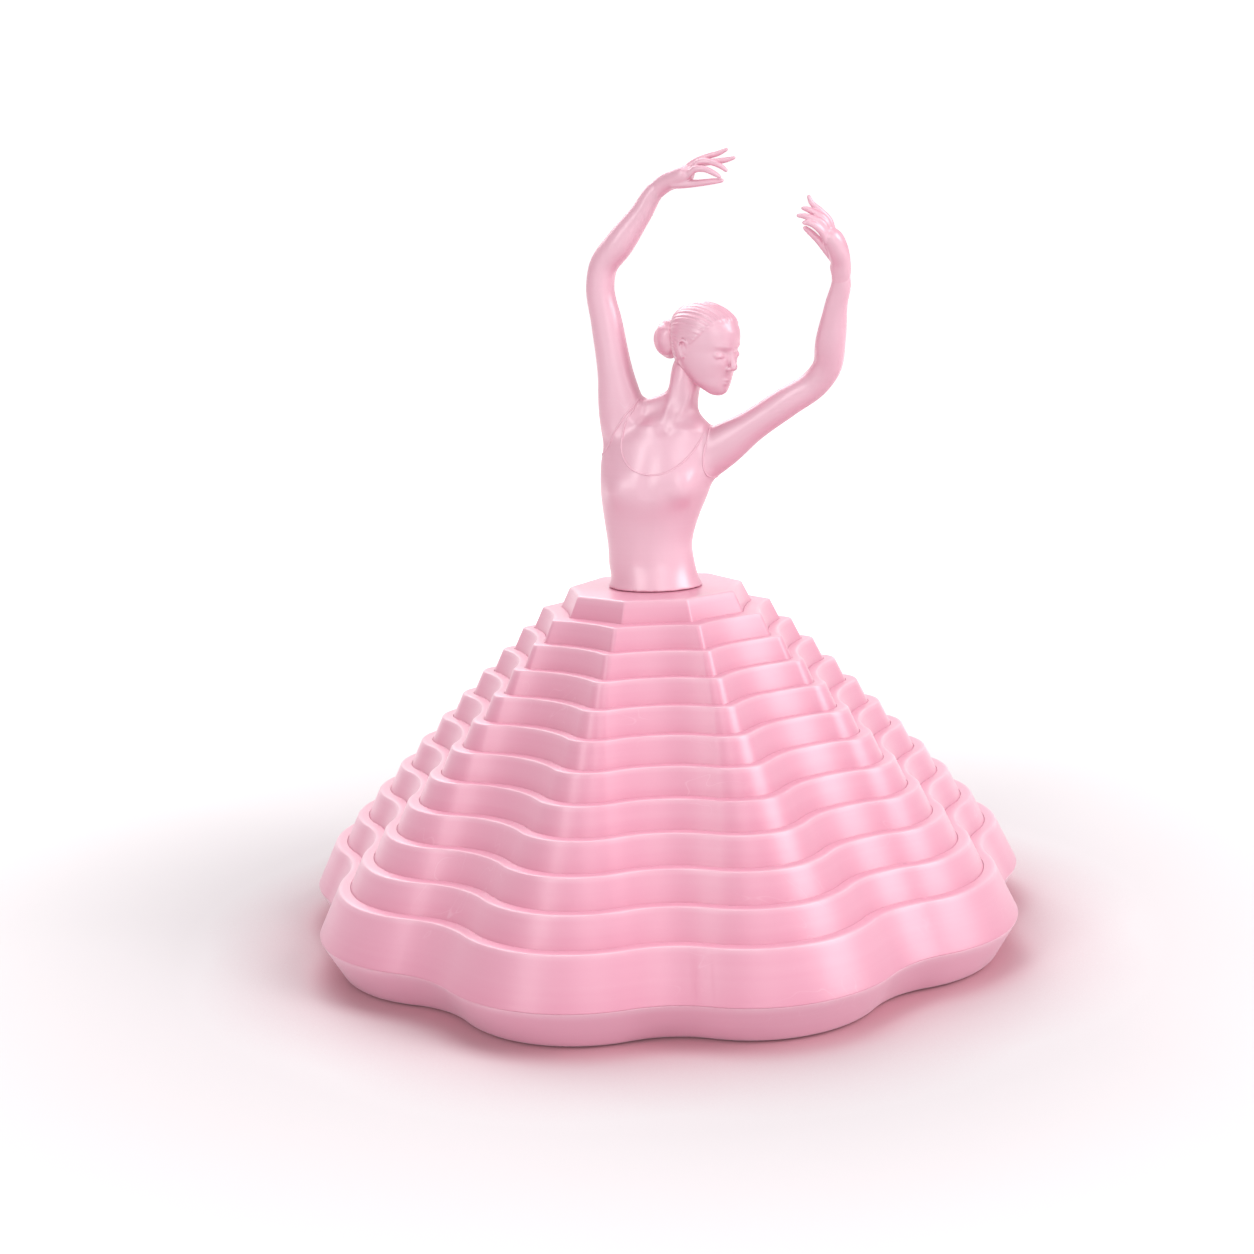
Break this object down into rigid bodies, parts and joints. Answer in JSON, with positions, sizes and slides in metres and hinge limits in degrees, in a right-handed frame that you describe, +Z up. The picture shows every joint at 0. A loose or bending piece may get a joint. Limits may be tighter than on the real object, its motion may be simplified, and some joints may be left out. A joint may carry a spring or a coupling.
{
  "type": "ballerina jewellery box",
  "caption": "Ballerina figure on a telescoping skirt of nested lobed rings that lifts off a shallow jewellery tray",
  "frame": {"origin": "centre of the tray's flat underside", "axes": "+Z up, -Y is the skirt's front valley, +X to the right seen from the front"},
  "size_m": [0.146, 0.1445, 0.1531],
  "materials": {
    "satin_pink": "satin",
    "pearl_pink": "pearlescent",
    "steel": "plain"
  },
  "bodies": {
    "tray": {"tray": "satin_pink"},
    "hem": {"hem_ring": "satin_pink"},
    "ring_11": {"ring_11": "satin_pink"},
    "ring_10": {"ring_10": "satin_pink"},
    "ring_09": {"ring_09": "satin_pink"},
    "ring_08": {"ring_08": "satin_pink"},
    "ring_07": {"ring_07": "satin_pink"},
    "ring_06": {"ring_06": "satin_pink"},
    "ring_05": {"ring_05": "satin_pink"},
    "ring_04": {"ring_04": "satin_pink"},
    "ring_03": {"ring_03": "satin_pink"},
    "ring_02": {"ring_02": "satin_pink"},
    "cap": {"top_cap": "satin_pink"},
    "figure": {"torso": "pearl_pink", "head": "pearl_pink", "left_arm": "pearl_pink", "right_arm": "pearl_pink", "figure_screw": "steel", "figure_washer": "steel"}
  },
  "joints": [
    {"name": "lid_lift", "type": "slide", "parent": "tray", "child": "hem", "axis": [0, 0, 1], "range_m": [0, 0.06]},
    {"name": "ring_11_drop", "type": "slide", "parent": "hem", "child": "ring_11", "axis": [0, 0, 1], "range_m": [-0.0121, 0]},
    {"name": "ring_10_drop", "type": "slide", "parent": "ring_11", "child": "ring_10", "axis": [0, 0, 1], "range_m": [-0.00527, 0]},
    {"name": "ring_09_drop", "type": "slide", "parent": "ring_10", "child": "ring_09", "axis": [0, 0, 1], "range_m": [-0.00514, 0]},
    {"name": "ring_08_drop", "type": "slide", "parent": "ring_09", "child": "ring_08", "axis": [0, 0, 1], "range_m": [-0.00501, 0]},
    {"name": "ring_07_drop", "type": "slide", "parent": "ring_08", "child": "ring_07", "axis": [0, 0, 1], "range_m": [-0.00488, 0]},
    {"name": "ring_06_drop", "type": "slide", "parent": "ring_07", "child": "ring_06", "axis": [0, 0, 1], "range_m": [-0.00475, 0]},
    {"name": "ring_05_drop", "type": "slide", "parent": "ring_06", "child": "ring_05", "axis": [0, 0, 1], "range_m": [-0.00462, 0]},
    {"name": "ring_04_drop", "type": "slide", "parent": "ring_05", "child": "ring_04", "axis": [0, 0, 1], "range_m": [-0.00449, 0]},
    {"name": "ring_03_drop", "type": "slide", "parent": "ring_04", "child": "ring_03", "axis": [0, 0, 1], "range_m": [-0.00436, 0]},
    {"name": "ring_02_drop", "type": "slide", "parent": "ring_03", "child": "ring_02", "axis": [0, 0, 1], "range_m": [-0.00423, 0]},
    {"name": "cap_drop", "type": "slide", "parent": "ring_02", "child": "cap", "axis": [0, 0, 1], "range_m": [-0.0041, 0]},
    {"name": "pirouette", "type": "hinge", "parent": "cap", "child": "figure", "pos_m": [0, 0, 0.06925], "axis": [0, 0, 1], "continuous": true}
  ]
}
